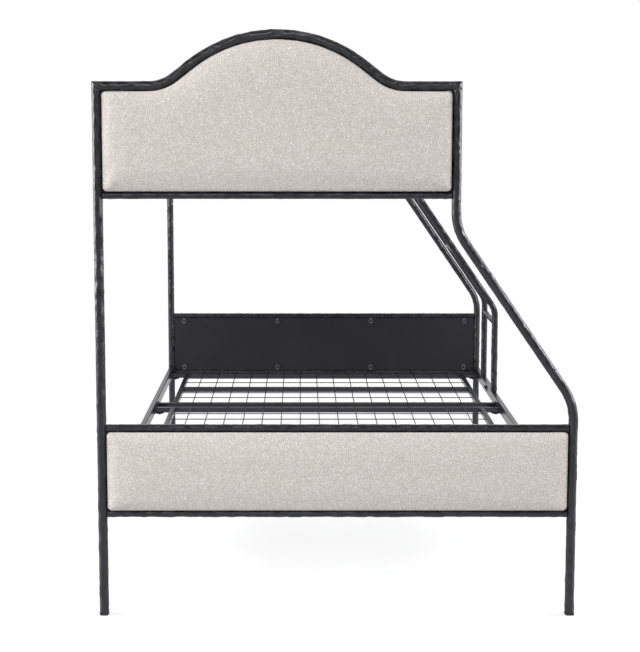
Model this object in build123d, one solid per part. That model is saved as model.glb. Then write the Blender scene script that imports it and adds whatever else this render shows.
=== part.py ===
from build123d import *
import math
import os

# Twin over full bunk bed in millimetres. The floor is z = 0, the foot end is at -Y, the head
# end at +Y, and the ladder and the bent posts are on the right, at +X.

# Plan of the bed, and the heights of its side rails
end_frame_spacing = 1965.0
lower_post_spacing = 1412.0
upper_post_spacing = 1054.0
lower_rail_height = 321.5
upper_rail_height = 1285.0

# What goes up and down with the side rails
shoulder_rise = 324.0
upper_panel_drop = 10.0
lower_panel_drop = 7.5
lower_panel_height = 264.0
upper_bend_drop = 109.5
lower_bend_rise = 75.8

# The bore of a tube keeps square corners up to this bevel, as a share of the wall
deep_bevel_share = 1.5

# Hammered square tube of the posts and the arched rail, edges beaten to flats
post_size = 28.0
post_wall = 2.0
post_edge = 3.0
post_bend_radius = 170.0

# Foot glides: a flange under the post and a plug inside it
glide_thickness = 5.0
glide_plug_height = 16.0
glide_fit = 0.2

# Camel-back line of the arched rail, on its centre line
arch_rise = 150.0
arch_slope = 38.0
arch_straight = 60.0
arch_foot_radius = 124.0

# Smaller hammered tube that frames the upholstered panels
panel_rail_size = 20.0
panel_rail_wall = 1.5
panel_rail_edge = 2.2

# Backing boards and the lug tabs that hold them
board_thickness = 9.0
board_margin = 1.5
tab_width = 20.0
tab_reach = 26.0
tab_thickness = 2.5
tab_corner = 6.0
lower_tab_count = 4
lower_tab_inset = 45.5
upper_tab_count = 3
upper_tab_inset = 70.0
screw_inset = 14.0
screw_radius = 2.0
screw_fit = 0.15
screw_head_radius = 4.6
screw_head_height = 2.4
screw_bite = 6.5
screw_shank_sides = 4

# Upholstered pads: rolled edge, narrow flat seam ledge, then a low crown
pad_margin = 1.0
pad_corner = 12.0
pad_edge_depth = 15.0
pad_roll = 5.0
pad_ledge = 4.0
pad_crown = 5.0
pad_crown_share = 0.2869
pad_edge_shares = ((0.0, 0.35), (0.35, 0.0), (0.8, 0.25), (1.0, 1.0))

# Smooth rectangular side rails and the tongues that carry their ends
side_rail_width = 20.0
side_rail_height = 40.0
side_rail_wall = 1.5
side_rail_edge = 1.5
tongue_length = 60.0
tongue_thickness = 6.0
tongue_fit = 0.25
tongue_bolt_inset = 28.0

# Mesh decks: welded sections of tube and wire
deck_section_count = 3
deck_section_gap = 57.0
deck_end_margin = 67.5
deck_tube = 20.0
deck_tube_wall = 1.2
deck_tube_edge = 1.2
deck_tube_lift = 2.0
deck_side_bar_inset = 80.0
wire = 4.0
wire_sides = 4
wire_pitch = 73.6
wire_end_inset = 3.0
crosswise_per_half = 2

# Angle brackets under the deck tubes
bracket_thickness = 3.0
bracket_reach = 32.0
bracket_rise = 26.0
bracket_overhang = 6.0

# Bolts with hexagon heads, shown with few sides
bolt_radius = 4.0
bolt_fit = 0.2
bolt_head_radius = 6.5
bolt_head_height = 5.3
bolt_reach = 7.0
bolt_shank_sides = 4
head_sides = 6
deck_bolt_inset = 13.5

# Guard rails, welded onto the upper side rails
guard_tube = 20.0
guard_wall = 1.2
guard_edge = 1.2
guard_rise = 267.0
guard_gap = 82.0
guard_bolt_drop = 36.0
left_guard_bays = 4
right_guard_bays = 3

# Ladder on the right, near the head
ladder_head_inset = 367.5
ladder_stile_spacing = 281.0
stile_size = 25.0
stile_wall = 1.5
stile_edge = 2.2
stile_bend_rise = 37.0
stile_bend_radius = 90.0
rung_size = 20.0
rung_wall = 1.2
rung_edge = 1.8
rung_count = 3
first_rung_rise = 313.5
last_rung_drop = 50.0
ladder_opening_margin = 52.0
ladder_plate_thickness = 3.0
ladder_tab_width = 36.0
ladder_tab_drop = 28.0
ladder_bolt_drop = 14.5
ladder_top_plate_length = 66.0
ladder_top_bolt_inset = 14.0

# Places worked out from the sizes above
foot_y = -end_frame_spacing / 2
post_inner_y = end_frame_spacing / 2 - post_size / 2
left_x = -lower_post_spacing / 2
lower_right_x = lower_post_spacing / 2
upper_right_x = left_x + upper_post_spacing
shoulder_height = upper_rail_height + shoulder_rise
upper_panel_rail_height = upper_rail_height - upper_panel_drop
lower_panel_bottom_height = lower_rail_height - lower_panel_drop
lower_panel_top_height = lower_panel_bottom_height + lower_panel_height
post_bend_low = lower_panel_top_height + lower_bend_rise
post_bend_high = upper_rail_height - upper_bend_drop
arch_x = (left_x + upper_right_x) / 2
arch_z = shoulder_height - post_size / 2
post_lean = math.degrees(math.atan2(lower_right_x - upper_right_x, post_bend_high - post_bend_low))
board_back = -panel_rail_size / 2 + tab_thickness
pad_back = board_back + board_thickness
pad_crown_reach = (lower_panel_height - panel_rail_size) * pad_crown_share
deck_length = end_frame_spacing - 2 * deck_end_margin
deck_section_pitch = (deck_length + deck_section_gap) / deck_section_count
deck_section_length = deck_section_pitch - deck_section_gap
ladder_centre = end_frame_spacing / 2 - ladder_head_inset
ladder_front_y = ladder_centre - ladder_stile_spacing / 2
ladder_rear_y = ladder_centre + ladder_stile_spacing / 2
ladder_opening_y = ladder_front_y - ladder_opening_margin


def tube_section(wide, high, wall, edge):
    """Outside and bore of a tube with bevelled edges; a deep bevel is followed by the bore."""
    outside = chamfer(Rectangle(wide, high).vertices(), edge)
    bore = Rectangle(wide - 2 * wall, high - 2 * wall)
    if edge > deep_bevel_share * wall:
        bore = chamfer(bore.vertices(), edge - (2 - math.sqrt(2)) * wall)
    return outside, bore


def straight_tube(start, end, wide, high, wall, edge):
    """Straight tube along one axis; wide is level and high upright, unless the tube is upright."""
    along = Vector(*end) - Vector(*start)
    level = Vector(0, 1, 0) if abs(along.X) > 0 else Vector(1, 0, 0)
    plane = Plane(origin=start, x_dir=level, z_dir=along)
    outside, bore = tube_section(wide, high, wall, edge)
    return extrude(plane * (outside - bore), amount=along.length)


def swept_tube(start, path, size, wall, edge):
    """Square tube swept along a path; start is the plane of its first end."""
    outside, bore = tube_section(size, size, wall, edge)
    return sweep(start * outside, path=path) - sweep(start * bore, path=path)


def block(low, high):
    """Box between two opposite corners."""
    spans = [b - a for a, b in zip(low, high)]
    middle = [(a + b) / 2 for a, b in zip(low, high)]
    return Pos(*middle) * Box(*spans)


def prism(start, direction, length, radius, sides):
    """Many-sided bar from start along direction, with its flats a radius from its axis."""
    across = (0, 1, 0) if abs(Vector(*direction).X) > 0 else (1, 0, 0)
    plane = Plane(origin=start, x_dir=across, z_dir=direction)
    outline = RegularPolygon(radius, sides, major_radius=False, rotation=90 - 180 / sides)
    return extrude(plane * outline, amount=length)


def bolt(face, outward, grip):
    """Hexagon-head bolt whose head stands on face and whose shank goes the other way."""
    inward = Vector(*outward) * -1
    head = prism(face, outward, bolt_head_height, bolt_head_radius, head_sides)
    return head + prism(face, inward, grip, bolt_radius, bolt_shank_sides)


def bolt_hole(face, outward, depth):
    """Cutter for the shank of a bolt that stands on face."""
    inward = Vector(*outward) * -1
    return prism(face, inward, depth, bolt_radius + bolt_fit, bolt_shank_sides)


def bend_centre_x(z, size_rise, radius):
    """Centre line of a right-hand post or stile at a height; size_rise lifts both bends."""
    low, high = post_bend_low + size_rise, post_bend_high + size_rise
    lean = math.radians(post_lean)
    tangent = radius * math.tan(lean / 2)
    low_start, low_end = low - tangent, low + tangent * math.cos(lean)
    high_start, high_end = high - tangent * math.cos(lean), high + tangent
    if z <= low_start:
        return lower_right_x
    if z < low_end:
        return lower_right_x - radius + math.sqrt(radius**2 - (z - low_start) ** 2)
    if z <= high_start:
        return lower_right_x - (z - low) * math.tan(lean)
    if z < high_end:
        return upper_right_x + radius - math.sqrt(radius**2 - (high_end - z) ** 2)
    return upper_right_x


def bent_tube(y, bottom, top, size_rise, radius, size, wall, edge):
    """Upright tube with two bends that carry it from the lower to the upper spacing."""
    corners = (
        (lower_right_x, y, bottom),
        (lower_right_x, y, post_bend_low + size_rise),
        (upper_right_x, y, post_bend_high + size_rise),
        (upper_right_x, y, top),
    )
    path = FilletPolyline(*corners, radius=radius)
    start = Plane(origin=corners[0], x_dir=(1, 0, 0), z_dir=(0, 0, 1))
    return swept_tube(start, path, size, wall, edge)


def mitre_plane(corner_x, inward):
    """Mitre between a post and the arched rail; its normal points along the rail and up."""
    return Plane(origin=(corner_x, foot_y, arch_z), x_dir=(0, 1, 0), z_dir=(inward, 0, 1))


def foot_plane(outward):
    """Upright plane of the foot end frame, moved outwards from the centre of the tubes."""
    return Plane(origin=(0, foot_y - outward, 0), x_dir=(1, 0, 0), z_dir=(0, -1, 0))


def arch_sizes():
    """Radius of the crown and half the width of the raised part, from the driving sizes."""
    slope = math.radians(arch_slope)
    climb = arch_rise - arch_straight * math.sin(slope)
    crown_radius = climb / (1 - math.cos(slope)) - arch_foot_radius
    half_width = (crown_radius + arch_foot_radius) * math.sin(slope)
    return crown_radius, half_width + arch_straight * math.cos(slope)


def arch_line(drop, reach):
    """Camel-back line a drop below the rail's centre line, reach long to each side."""
    crown_radius, half_width = arch_sizes()
    flat_z = arch_z - drop
    hollow_z = arch_z + arch_foot_radius
    crown_z = arch_z + arch_rise - crown_radius
    left_hollow = CenterArc(
        (arch_x - half_width, hollow_z), arch_foot_radius + drop, -90, arch_slope
    )
    crown = CenterArc((arch_x, crown_z), crown_radius - drop, 90 + arch_slope, -2 * arch_slope)
    right_hollow = CenterArc(
        (arch_x + half_width, hollow_z), arch_foot_radius + drop, -90 - arch_slope, arch_slope
    )
    return [
        Line((arch_x - reach, flat_z), left_hollow @ 0),
        left_hollow,
        Line(left_hollow @ 1, crown @ 0),
        crown,
        Line(crown @ 1, right_hollow @ 0),
        right_hollow,
        Line(right_hollow @ 1, (arch_x + reach, flat_z)),
    ]


def arch_under(x_from_centre, drop):
    """Height of the arched rail's underside near the crown."""
    crown_radius, _ = arch_sizes()
    crown_z = arch_z + arch_rise - crown_radius
    return crown_z + math.sqrt((crown_radius - drop) ** 2 - x_from_centre**2)


def upper_panel_outline(margin):
    """Area inside the upper panel's frame, set in by a margin."""
    reach = upper_post_spacing / 2 - post_size / 2 - margin
    bottom = upper_panel_rail_height + panel_rail_size / 2 + margin
    top = arch_line(post_size / 2 + margin, reach)
    left, right = arch_x - reach, arch_x + reach
    rising = [Line((left, bottom), (right, bottom)), Line((right, bottom), top[-1] @ 1)]
    falling = [Line(top[0] @ 0, (left, bottom))]
    return Sketch() + make_face(rising + top[::-1] + falling)


def lower_panel_outline(margin):
    """Area inside the lower panel's frame, set in by a margin."""
    width = lower_post_spacing - post_size - 2 * margin
    height = lower_panel_height - panel_rail_size - 2 * margin
    middle = (lower_panel_top_height + lower_panel_bottom_height) / 2
    return Pos(0, middle) * Rectangle(width, height)


def board(outline, tab_screws):
    """Backing board of a panel with pilot holes for the screws of its tabs."""
    plain = extrude(foot_plane(board_back) * outline(board_margin), amount=board_thickness)
    radius, depth = screw_radius + screw_fit, screw_bite + screw_fit
    return plain - [
        prism((x, foot_y - board_back, z + way * screw_inset), (0, -1, 0), depth, radius, screw_shank_sides)
        for x, z, way in tab_screws
    ]


def rounded(face, corner):
    """Outline of a panel with its four outer corners rounded."""
    ends = face.vertices().group_by(Axis.X)
    return fillet(ends[0] + ends[-1], corner)


def pad(outline):
    """Upholstered pad: drawn in at the back, full at its sides, rolled over and crowned."""
    faces = [
        Pos(0, 0, depth * pad_edge_depth) * rounded(outline(pad_margin + inset * pad_roll), pad_corner)
        for depth, inset in pad_edge_shares
    ]
    crown_base = Pos(0, 0, pad_edge_depth) * outline(pad_margin + pad_roll + pad_ledge)
    crown_taper = math.degrees(math.atan2(pad_crown_reach, pad_crown))
    crown = extrude(crown_base, amount=pad_crown, dir=(0, 0, 1), taper=crown_taper)
    return foot_plane(pad_back).location * (loft(faces, ruled=True) + crown)


def spread(middle, reach, count):
    """Even places from one side of a middle to the other."""
    return [middle + reach * (2 * i / (count - 1) - 1) for i in range(count)]


def tab_places():
    """Screw places of the lug tabs as (x, z of the weld, direction away from the weld)."""
    upper_bottom = upper_panel_rail_height + panel_rail_size / 2
    lower_top = lower_panel_top_height - panel_rail_size / 2
    lower_bottom = lower_panel_bottom_height + panel_rail_size / 2
    lower_reach = (lower_post_spacing - post_size) / 2 - lower_tab_inset
    upper_reach = (upper_post_spacing - post_size) / 2 - upper_tab_inset
    lower_xs = spread(0, lower_reach, lower_tab_count)
    upper_xs = spread(arch_x, upper_reach, upper_tab_count)
    lower = [(x, lower_top, -1) for x in lower_xs] + [(x, lower_bottom, 1) for x in lower_xs]
    upper = [(x, upper_bottom, 1) for x in upper_xs]
    upper += [(x, arch_z - post_size / 2, -1) for x in (upper_xs[0], upper_xs[-1])]
    upper += [(arch_x, arch_under(tab_width / 2, post_size / 2), -1)]
    return lower, upper


def tab(x, weld_z, way):
    """Lug tab welded to a rail, with a hole for its screw."""
    tip = weld_z + way * tab_reach
    outline = Pos(x, (weld_z + tip) / 2) * Rectangle(tab_width, tab_reach)
    free = outline.vertices().sort_by(Axis.Y)
    outline = chamfer(free[-2:] if way > 0 else free[:2], tab_corner)
    hole_start = (x, foot_y + panel_rail_size / 2, weld_z + way * screw_inset)
    hole = prism(hole_start, (0, -1, 0), tab_thickness, screw_radius + screw_fit, screw_shank_sides)
    return extrude(foot_plane(-panel_rail_size / 2) * outline, amount=tab_thickness) - hole


def tab_screw(x, weld_z, way):
    """Screw through a tab into the board; its head is on the inner side of the bed."""
    face = (x, foot_y + panel_rail_size / 2, weld_z + way * screw_inset)
    head = prism(face, (0, 1, 0), screw_head_height, screw_head_radius, head_sides)
    shank = prism(face, (0, -1, 0), tab_thickness + screw_bite, screw_radius, screw_shank_sides)
    return head + shank


def guard_bolt_height():
    """Height of the bolts that tie the guard rails to the posts."""
    return upper_rail_height + side_rail_height / 2 + guard_rise - guard_bolt_drop


def guard_post_hole(x):
    """Cutter for a guard rail bolt in the inner wall of a post."""
    face = (x, -post_inner_y, guard_bolt_height())
    return bolt_hole(face, (0, 1, 0), post_wall + bolt_fit)


def post_glide(x):
    """Foot glide: flange with the post's outline and a plug inside the tube."""
    flange, plug = tube_section(post_size, post_size, post_wall + glide_fit, post_edge)
    foot = Pos(x, foot_y, 0)
    top = Pos(x, foot_y, glide_thickness)
    return extrude(foot * flange, amount=glide_thickness) + extrude(
        top * plug, amount=glide_plug_height
    )


def panel_rail(right_x, height):
    """Level hammered tube between the left post and the right post at a height."""
    start = (left_x + post_size / 2, foot_y, height)
    end = (right_x - post_size / 2, foot_y, height)
    size = panel_rail_size
    return straight_tube(start, end, size, size, panel_rail_wall, panel_rail_edge)


def end_frame():
    """Pieces of the foot end frame by name; the head end frame is its mirror image."""
    lower_tabs, upper_tabs = tab_places()
    left_mitre = mitre_plane(left_x, 1)
    right_mitre = mitre_plane(upper_right_x, -1)

    left_post = straight_tube(
        (left_x, foot_y, glide_thickness),
        (left_x, foot_y, shoulder_height),
        post_size,
        post_size,
        post_wall,
        post_edge,
    )
    left_post = split(left_post, bisect_by=left_mitre, keep=Keep.BOTTOM)
    right_post = bent_tube(
        foot_y, glide_thickness, shoulder_height, 0, post_bend_radius, post_size, post_wall, post_edge
    )
    right_post = split(right_post, bisect_by=right_mitre, keep=Keep.BOTTOM)

    reach = upper_post_spacing / 2 + post_size / 2
    rail_path = Wire([foot_plane(0) * edge for edge in arch_line(0, reach)])
    start = Plane(origin=rail_path @ 0, x_dir=(0, 1, 0), z_dir=(1, 0, 0))
    arch_rail = swept_tube(start, rail_path, post_size, post_wall, post_edge)
    for mitre in (left_mitre, right_mitre):
        arch_rail = split(arch_rail, bisect_by=mitre, keep=Keep.TOP)

    return {
        "left_post": left_post - guard_post_hole(left_x),
        "right_post": right_post - guard_post_hole(upper_right_x),
        "arch_rail": arch_rail,
        "upper_panel_rail": panel_rail(upper_right_x, upper_panel_rail_height),
        "lower_panel_top_rail": panel_rail(lower_right_x, lower_panel_top_height),
        "lower_panel_bottom_rail": panel_rail(lower_right_x, lower_panel_bottom_height),
        "upper_back_board": board(upper_panel_outline, upper_tabs),
        "lower_back_board": board(lower_panel_outline, lower_tabs),
        "upper_pad": pad(upper_panel_outline),
        "lower_pad": pad(lower_panel_outline),
        "panel_tabs": [tab(*place) for place in lower_tabs + upper_tabs],
        "panel_screws": [tab_screw(*place) for place in lower_tabs + upper_tabs],
        "foot_glides": [post_glide(left_x), post_glide(lower_right_x)],
    }


def side_rail(x, height):
    """Side rail between the posts of the two end frames."""
    ends = (x, -post_inner_y, height), (x, post_inner_y, height)
    return straight_tube(*ends, side_rail_width, side_rail_height, side_rail_wall, side_rail_edge)


def rail_fixing(x, height, inner_side, end):
    """Flat tongue on a post, inside the rail's end, and the bolt that holds the rail to it."""
    outer_face = inner_side * side_rail_width / 2
    near = x + outer_face - inner_side * (side_rail_wall + tongue_fit)
    far = near - inner_side * tongue_thickness
    ends_y = sorted((end * post_inner_y, end * (post_inner_y - tongue_length)))
    half_high = side_rail_height / 2 - side_rail_wall - tongue_fit
    tongue = block(
        (min(near, far), ends_y[0], height - half_high),
        (max(near, far), ends_y[1], height + half_high),
    )
    face = (x + outer_face, end * (post_inner_y - tongue_bolt_inset), height)
    outward = (inner_side, 0, 0)
    grip = side_rail_wall + tongue_fit + tongue_thickness
    hole = bolt_hole(face, outward, grip)
    return tongue - hole, bolt(face, outward, grip), hole


def deck_places():
    """Middles of the deck sections along the bed."""
    reach = (deck_length - deck_section_length) / 2
    return spread(0, reach, deck_section_count)


def deck(right_x, rail_height):
    """Mesh deck between two side rails, by name, with its brackets and bolts."""
    bottom = rail_height - side_rail_height / 2 + deck_tube_lift
    top = bottom + deck_tube
    tube_z = bottom + deck_tube / 2
    rail_left = left_x + side_rail_width / 2
    rail_right = right_x - side_rail_width / 2
    tube_left, tube_right = rail_left + bracket_thickness, rail_right - bracket_thickness
    bar_left, bar_right = left_x + deck_side_bar_inset, right_x - deck_side_bar_inset
    bar_inner_left, bar_inner_right = bar_left + deck_tube / 2, bar_right - deck_tube / 2
    half = deck_section_length / 2
    deck_args = (deck_tube, deck_tube, deck_tube_wall, deck_tube_edge)
    bolt_xs = (rail_left + deck_bolt_inset, rail_right - deck_bolt_inset)

    wire_gaps = round((bar_right - bar_left) / wire_pitch)
    wire_step = (bar_right - bar_left) / wire_gaps
    lengthwise_xs = [bar_left + wire_step * (i + 1) for i in range(wire_gaps - 1)]

    end_tubes, side_bars, stiffeners, meshes, bolts, tube_ys = [], [], [], [], [], []
    for middle in deck_places():
        ends = (middle - half + deck_tube / 2, middle + half - deck_tube / 2)
        tube_ys += ends
        for y in ends:
            tube = straight_tube((tube_left, y, tube_z), (tube_right, y, tube_z), *deck_args)
            for x in bolt_xs:
                tube -= bolt_hole((x, y, bottom), (0, 0, -1), deck_tube_wall + bolt_fit)
            end_tubes.append(tube)
        inner = half - deck_tube
        for x in (bar_left, bar_right):
            side_bars.append(
                straight_tube((x, middle - inner, tube_z), (x, middle + inner, tube_z), *deck_args)
            )
        stiffeners.append(
            straight_tube((bar_inner_left, middle, tube_z), (bar_inner_right, middle, tube_z), *deck_args)
        )
        meshes += mesh(middle, top, lengthwise_xs, bar_inner_left, bar_inner_right)

    under = bottom - bracket_thickness
    for y in tube_ys:
        for x in bolt_xs:
            grip = bracket_thickness + deck_tube_wall + bolt_reach
            bolts.append(bolt((x, y, under), (0, 0, -1), grip))
    return {
        "deck_end_tubes": end_tubes,
        "deck_side_bars": side_bars,
        "deck_stiffeners": stiffeners,
        "deck_mesh": meshes,
        "deck_brackets": deck_brackets(rail_left, rail_right, bottom, bolt_xs, tube_ys),
        "deck_bolts": bolts,
    }


def mesh(middle, top, lengthwise_xs, left, right):
    """Welded wire mesh of one deck section: lengthwise wires lie on crosswise ones.

    They are one solid with the first crosswise wire, and the others touch them.
    """
    half = deck_section_length / 2
    bay = half - deck_tube - deck_tube / 2
    step = bay / (crosswise_per_half + 1)
    crosswise_ys = [
        middle + side * (deck_tube / 2 + step * (i + 1))
        for side in (-1, 1)
        for i in range(crosswise_per_half)
    ]
    length = deck_section_length - 2 * wire_end_inset
    lengthwise = [
        prism((x, middle - half + wire_end_inset, top + wire / 2), (0, 1, 0), length, wire / 2, wire_sides)
        for x in lengthwise_xs
    ]
    crosswise = [
        prism((left, y, top - wire / 2), (1, 0, 0), right - left, wire / 2, wire_sides)
        for y in crosswise_ys
    ]
    return [crosswise[0].fuse(*lengthwise), *crosswise[1:]]


def deck_brackets(rail_left, rail_right, bottom, bolt_xs, tube_ys):
    """Angle brackets on the rails; two tubes that lie side by side share one bracket."""
    groups = [[tube_ys[0]]]
    for y in tube_ys[1:]:
        if y - groups[-1][-1] < deck_section_gap + 2 * deck_tube:
            groups[-1].append(y)
        else:
            groups.append([y])
    spread = deck_tube / 2 + bracket_overhang
    brackets = []
    for rail_face, inward, bolt_x in ((rail_left, 1, bolt_xs[0]), (rail_right, -1, bolt_xs[1])):
        for group in groups:
            low_y, high_y = group[0] - spread, group[-1] + spread
            leg_x = sorted((rail_face, rail_face + inward * bracket_thickness))
            shelf_x = sorted((rail_face, rail_face + inward * bracket_reach))
            under = bottom - bracket_thickness
            leg = block((leg_x[0], low_y, under), (leg_x[1], high_y, under + bracket_rise))
            shelf = block((shelf_x[0], low_y, under), (shelf_x[1], high_y, bottom))
            bracket = leg + shelf
            for y in group:
                bracket -= bolt_hole((bolt_x, y, under), (0, 0, -1), bracket_thickness)
            brackets.append(bracket)
    return brackets


def guard(x, low_y, high_y, bays, bolt_ends):
    """Guard rail on an upper side rail: two level tubes, end uprights and short uprights."""
    base = upper_rail_height + side_rail_height / 2
    top_z = base + guard_rise - guard_tube / 2
    middle_z = top_z - guard_tube - guard_gap
    args = (guard_tube, guard_tube, guard_wall, guard_edge)
    first, last = low_y + guard_tube / 2, high_y - guard_tube / 2
    inner_low, inner_high = low_y + guard_tube, high_y - guard_tube
    rails = [
        straight_tube((x, inner_low, z), (x, inner_high, z), *args) for z in (top_z, middle_z)
    ]
    uprights, bolts = [], []
    for y in (first, last):
        uprights.append(straight_tube((x, y, base), (x, y, base + guard_rise), *args))
    for way in bolt_ends:
        index = 0 if way > 0 else 1
        face = (x, (inner_low, inner_high)[index], guard_bolt_height())
        grip = guard_tube + post_wall + bolt_fit
        uprights[index] -= bolt_hole(face, (0, way, 0), guard_tube)
        bolts.append(bolt(face, (0, way, 0), grip))
    pitch = (inner_high - inner_low) / bays
    for i in range(1, bays):
        y = inner_low + pitch * i
        under, over = middle_z - guard_tube / 2, middle_z + guard_tube / 2
        uprights.append(straight_tube((x, y, base), (x, y, under), *args))
        uprights.append(straight_tube((x, y, over), (x, y, top_z - guard_tube / 2), *args))
    return rails, uprights, bolts


def ladder():
    """Ladder on the lower right side rail, by name, with its plates and bolts."""
    foot_z = lower_rail_height + side_rail_height / 2
    plate_top = foot_z + ladder_plate_thickness
    rail_under = upper_rail_height - side_rail_height / 2
    stile_top = rail_under - ladder_plate_thickness
    stile_args = (stile_bend_rise, stile_bend_radius, stile_size, stile_wall, stile_edge)
    stiles = [bent_tube(y, plate_top, stile_top, *stile_args) for y in (ladder_front_y, ladder_rear_y)]

    low_y, high_y = ladder_front_y + stile_size / 2, ladder_rear_y - stile_size / 2
    low_rung, high_rung = lower_rail_height + first_rung_rise, upper_rail_height - last_rung_drop
    rung_args = (rung_size, rung_size, rung_wall, rung_edge)
    rungs = []
    for z in spread((low_rung + high_rung) / 2, (high_rung - low_rung) / 2, rung_count):
        x = bend_centre_x(z, stile_bend_rise, stile_bend_radius)
        rungs.append(straight_tube((x, low_y, z), (x, high_y, z), *rung_args))

    rail_inner = lower_right_x - side_rail_width / 2
    rail_outer = lower_right_x + side_rail_width / 2
    tab_inner = rail_inner - ladder_plate_thickness
    flange = block(
        (tab_inner, ladder_front_y - stile_size / 2, foot_z),
        (rail_outer, ladder_rear_y + stile_size / 2, plate_top),
    )
    tab_low_y, tab_high_y = ladder_centre - ladder_tab_width / 2, ladder_centre + ladder_tab_width / 2
    hanging = block((tab_inner, tab_low_y, foot_z - ladder_tab_drop), (rail_inner, tab_high_y, foot_z))
    base_face = (tab_inner, ladder_centre, foot_z - ladder_bolt_drop)
    base_grip = ladder_plate_thickness + side_rail_wall + bolt_fit
    base_hole = bolt_hole(base_face, (-1, 0, 0), base_grip)
    base_plate = flange + hanging - base_hole

    top_plates, top_holes, bolts = [], [], [bolt(base_face, (-1, 0, 0), base_grip)]
    for y, way in ((ladder_front_y, 1), (ladder_rear_y, -1)):
        edge = y - way * stile_size / 2
        far = edge + way * ladder_top_plate_length
        face = (upper_right_x, far - way * ladder_top_bolt_inset, stile_top)
        plate = block(
            (upper_right_x - side_rail_width / 2, min(edge, far), stile_top),
            (upper_right_x + side_rail_width / 2, max(edge, far), rail_under),
        )
        grip = ladder_plate_thickness + side_rail_wall + bolt_fit
        hole = bolt_hole(face, (0, 0, -1), grip)
        top_plates.append(plate - hole)
        top_holes.append(hole)
        bolts.append(bolt(face, (0, 0, -1), grip))
    pieces = {
        "ladder_front_stile": stiles[0],
        "ladder_rear_stile": stiles[1],
        "ladder_rungs": rungs,
        "ladder_base_plate": base_plate,
        "ladder_top_plates": top_plates,
        "ladder_bolts": bolts,
    }
    return pieces, base_hole, top_holes


def solids_of(shape):
    """All solids of a piece or of a list of pieces."""
    if isinstance(shape, (list, tuple)):
        return [solid for piece in shape for solid in solids_of(piece)]
    return list(shape.solids())


def write(name, shape):
    """One STEP file per node; identical pieces share a node as separate solids."""
    solids = solids_of(shape)
    whole = solids[0] if len(solids) == 1 else Compound(solids)
    export_step(whole, f"parts/{name}.step")


def bed():
    """All nodes of the bed by name."""
    nodes = {}
    for name, shape in end_frame().items():
        nodes[f"foot_{name}"] = shape
        nodes[f"head_{name}"] = [mirror(solid, about=Plane.XZ) for solid in solids_of(shape)]

    ladder_pieces, base_hole, top_holes = ladder()
    rails = {
        "lower_left": (left_x, lower_rail_height, 1),
        "lower_right": (lower_right_x, lower_rail_height, -1),
        "upper_left": (left_x, upper_rail_height, 1),
        "upper_right": (upper_right_x, upper_rail_height, -1),
    }
    fixings = {"lower": ([], []), "upper": ([], [])}
    for name, (x, height, inner_side) in rails.items():
        rail = side_rail(x, height)
        for end in (-1, 1):
            tongue, rail_bolt, hole = rail_fixing(x, height, inner_side, end)
            rail -= hole
            tongues, bolts = fixings[name.split("_")[0]]
            tongues.append(tongue)
            bolts.append(rail_bolt)
        nodes[f"{name}_side_rail"] = rail
    nodes["lower_right_side_rail"] -= base_hole
    nodes["upper_right_side_rail"] -= top_holes
    for level, (tongues, bolts) in fixings.items():
        nodes[f"{level}_rail_tongues"] = tongues
        nodes[f"{level}_rail_bolts"] = bolts

    for level, right_x, height in (
        ("lower", lower_right_x, lower_rail_height),
        ("upper", upper_right_x, upper_rail_height),
    ):
        for name, shape in deck(right_x, height).items():
            nodes[f"{level}_{name}"] = shape

    left_rails, left_uprights, left_bolts = guard(
        left_x, -post_inner_y, post_inner_y, left_guard_bays, (1, -1)
    )
    right_rails, right_uprights, right_bolts = guard(
        upper_right_x, -post_inner_y, ladder_opening_y, right_guard_bays, (1,)
    )
    nodes["left_guard_rails"] = left_rails
    nodes["left_guard_uprights"] = left_uprights
    nodes["right_guard_rails"] = right_rails
    nodes["right_guard_uprights"] = right_uprights
    nodes["guard_bolts"] = left_bolts + right_bolts
    nodes.update(ladder_pieces)
    return nodes


os.makedirs("parts", exist_ok=True)
for node, shape in bed().items():
    write(node, shape)
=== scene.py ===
import math

import bmesh
import bpy
from mathutils import Matrix, Vector
from mathutils.kdtree import KDTree


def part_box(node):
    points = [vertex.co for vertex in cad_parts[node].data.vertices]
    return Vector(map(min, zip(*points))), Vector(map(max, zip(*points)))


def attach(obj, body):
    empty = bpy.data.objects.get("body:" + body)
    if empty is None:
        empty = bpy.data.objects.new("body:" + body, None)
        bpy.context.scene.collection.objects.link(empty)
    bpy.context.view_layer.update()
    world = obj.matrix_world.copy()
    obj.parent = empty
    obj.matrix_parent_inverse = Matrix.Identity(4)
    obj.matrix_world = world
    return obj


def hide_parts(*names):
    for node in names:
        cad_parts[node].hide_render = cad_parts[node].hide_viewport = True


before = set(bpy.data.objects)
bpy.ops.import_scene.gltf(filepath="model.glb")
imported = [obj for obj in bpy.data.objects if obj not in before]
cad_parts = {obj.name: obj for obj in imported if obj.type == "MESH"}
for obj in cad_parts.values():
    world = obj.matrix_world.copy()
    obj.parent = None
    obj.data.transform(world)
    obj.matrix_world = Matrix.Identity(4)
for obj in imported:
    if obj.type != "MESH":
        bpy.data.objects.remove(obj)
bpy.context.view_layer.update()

# Twin over full bunk bed: two hammered end frames with upholstered panels, four smooth side
# rails, two welded mesh decks, guard rails and a built-in ladder. Lengths are in millimetres
# and become metres through MM. The studio and the camera are in metres.

MM = 0.001
LEVELS = ("lower", "upper")
SIDES = ("left", "right")
ENDS = ("foot", "head")

# Plan and heights, as in the CAD frame
FOOT_Y = -982.5
LEFT_X = -706.0
LOWER_RIGHT_X = 706.0
UPPER_RIGHT_X = 348.0
SHOULDER_TOP = 1609.0
SHOULDER_Z = 1595.0
GLIDE = 5.0
LOW_BEND_Z = 653.8
HIGH_BEND_Z = 1175.5
UPPER_PANEL_RAIL_Z = 1275.0
LOWER_PANEL_TOP_Z = 578.0
LOWER_PANEL_BOTTOM_Z = 314.0
LADDER_MIDDLE_Z = 700.0

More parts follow.
